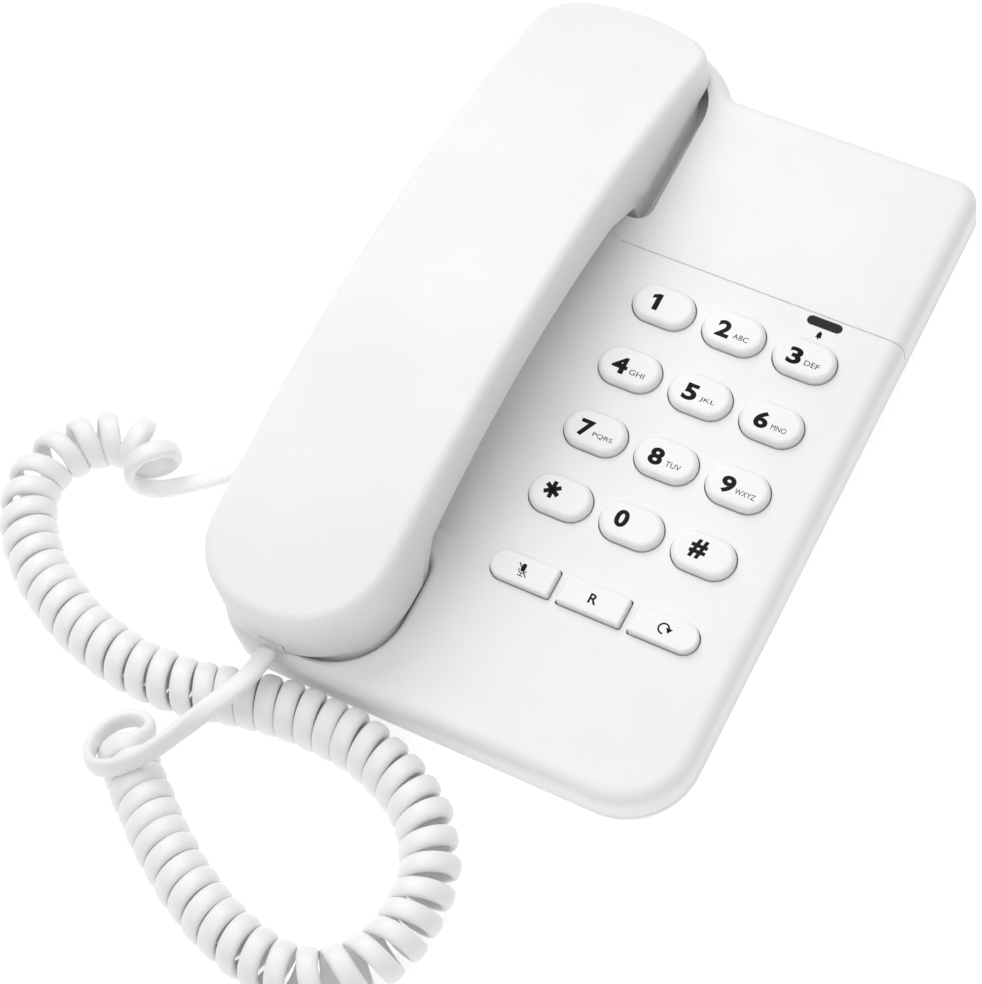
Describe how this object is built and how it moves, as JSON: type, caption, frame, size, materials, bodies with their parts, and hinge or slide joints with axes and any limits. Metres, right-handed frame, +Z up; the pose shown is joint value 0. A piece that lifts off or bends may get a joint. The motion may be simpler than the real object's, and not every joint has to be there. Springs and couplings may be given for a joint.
{
  "type": "corded desk telephone",
  "caption": "Wedge-shaped desk telephone with a push-button keypad, a handset resting in two wells along its left side, and a curly cord joining the handset to the base.",
  "frame": {"origin": "on the table, under the middle of the box round the phone without its cord", "axes": "+Z up from the table, +Y towards the back of the phone, +X to its right; the deck leans back eight degrees about X"},
  "size_m": [0.2039, 0.2842, 0.0622],
  "materials": {
    "housing_white": "fine satin texture",
    "key_white": "satin",
    "lens_smoked": "gloss",
    "cord_white": "soft gloss",
    "steel": "satin",
    "board_green": "satin",
    "black_plastic": "satin",
    "membrane_grey": "matte",
    "foot_rubber": "matte",
    "plug_clear": "gloss"
  },
  "bodies": {
    "base": {"upper_housing": "housing_white", "lower_housing": "housing_white", "rubber_feet": "foot_rubber", "housing_screws": "steel", "board_screws": "steel", "main_circuit_board": "board_green", "keypad_membrane": "membrane_grey", "ring_lens": "lens_smoked", "ring_led": "lens_smoked", "hook_switch": "black_plastic", "piezo_ringer": "black_plastic", "ballast_plate": "steel", "line_jack": "black_plastic", "base_cord_jack": "black_plastic", "base_plug": "plug_clear", "cord_lead_handset": "cord_white", "cord_coil": "cord_white", "cord_lead_base": "cord_white"},
    "key_1": {"key_1": "key_white"},
    "key_2": {"key_2": "key_white"},
    "key_3": {"key_3": "key_white"},
    "key_4": {"key_4": "key_white"},
    "key_5": {"key_5": "key_white"},
    "key_6": {"key_6": "key_white"},
    "key_7": {"key_7": "key_white"},
    "key_8": {"key_8": "key_white"},
    "key_9": {"key_9": "key_white"},
    "key_star": {"key_star": "key_white"},
    "key_0": {"key_0": "key_white"},
    "key_hash": {"key_hash": "key_white"},
    "key_mute": {"key_mute": "key_white"},
    "key_recall": {"key_recall": "key_white"},
    "key_redial": {"key_redial": "key_white"},
    "handset": {"handset_outer_shell": "housing_white", "handset_inner_shell": "housing_white", "handset_jack": "black_plastic", "handset_plug": "cord_white", "receiver_capsule": "black_plastic", "microphone_capsule": "black_plastic", "handset_weight": "steel"},
    "hook_button": {"hook_button": "key_white"}
  },
  "joints": [
    {"name": "key_1_press", "type": "slide", "parent": "base", "child": "key_1", "axis": [0, -0.1392, 0.9903], "range_m": [-0.0015, 0], "stiffness_N_per_m": 400},
    {"name": "key_2_press", "type": "slide", "parent": "base", "child": "key_2", "axis": [0, -0.1392, 0.9903], "range_m": [-0.0015, 0], "stiffness_N_per_m": 400},
    {"name": "key_3_press", "type": "slide", "parent": "base", "child": "key_3", "axis": [0, -0.1392, 0.9903], "range_m": [-0.0015, 0], "stiffness_N_per_m": 400},
    {"name": "key_4_press", "type": "slide", "parent": "base", "child": "key_4", "axis": [0, -0.1392, 0.9903], "range_m": [-0.0015, 0], "stiffness_N_per_m": 400},
    {"name": "key_5_press", "type": "slide", "parent": "base", "child": "key_5", "axis": [0, -0.1392, 0.9903], "range_m": [-0.0015, 0], "stiffness_N_per_m": 400},
    {"name": "key_6_press", "type": "slide", "parent": "base", "child": "key_6", "axis": [0, -0.1392, 0.9903], "range_m": [-0.0015, 0], "stiffness_N_per_m": 400},
    {"name": "key_7_press", "type": "slide", "parent": "base", "child": "key_7", "axis": [0, -0.1392, 0.9903], "range_m": [-0.0015, 0], "stiffness_N_per_m": 400},
    {"name": "key_8_press", "type": "slide", "parent": "base", "child": "key_8", "axis": [0, -0.1392, 0.9903], "range_m": [-0.0015, 0], "stiffness_N_per_m": 400},
    {"name": "key_9_press", "type": "slide", "parent": "base", "child": "key_9", "axis": [0, -0.1392, 0.9903], "range_m": [-0.0015, 0], "stiffness_N_per_m": 400},
    {"name": "key_star_press", "type": "slide", "parent": "base", "child": "key_star", "axis": [0, -0.1392, 0.9903], "range_m": [-0.0015, 0], "stiffness_N_per_m": 400},
    {"name": "key_0_press", "type": "slide", "parent": "base", "child": "key_0", "axis": [0, -0.1392, 0.9903], "range_m": [-0.0015, 0], "stiffness_N_per_m": 400},
    {"name": "key_hash_press", "type": "slide", "parent": "base", "child": "key_hash", "axis": [0, -0.1392, 0.9903], "range_m": [-0.0015, 0], "stiffness_N_per_m": 400},
    {"name": "key_mute_press", "type": "slide", "parent": "base", "child": "key_mute", "axis": [0, -0.1392, 0.9903], "range_m": [-0.0015, 0], "stiffness_N_per_m": 400},
    {"name": "key_recall_press", "type": "slide", "parent": "base", "child": "key_recall", "axis": [0, -0.1392, 0.9903], "range_m": [-0.0015, 0], "stiffness_N_per_m": 400},
    {"name": "key_redial_press", "type": "slide", "parent": "base", "child": "key_redial", "axis": [0, -0.1392, 0.9903], "range_m": [-0.0015, 0], "stiffness_N_per_m": 400},
    {"name": "handset_lift", "type": "slide", "parent": "base", "child": "handset", "axis": [0, -0.1392, 0.9903], "range_m": [0, 0.08]},
    {"name": "hook_button_rise", "type": "slide", "parent": "base", "child": "hook_button", "axis": [0, -0.1392, 0.9903], "range_m": [0, 0.004]}
  ],
  "couplings": [
    {"joint": "hook_button_rise", "follows": "handset_lift", "ratio": 0.05}
  ]
}
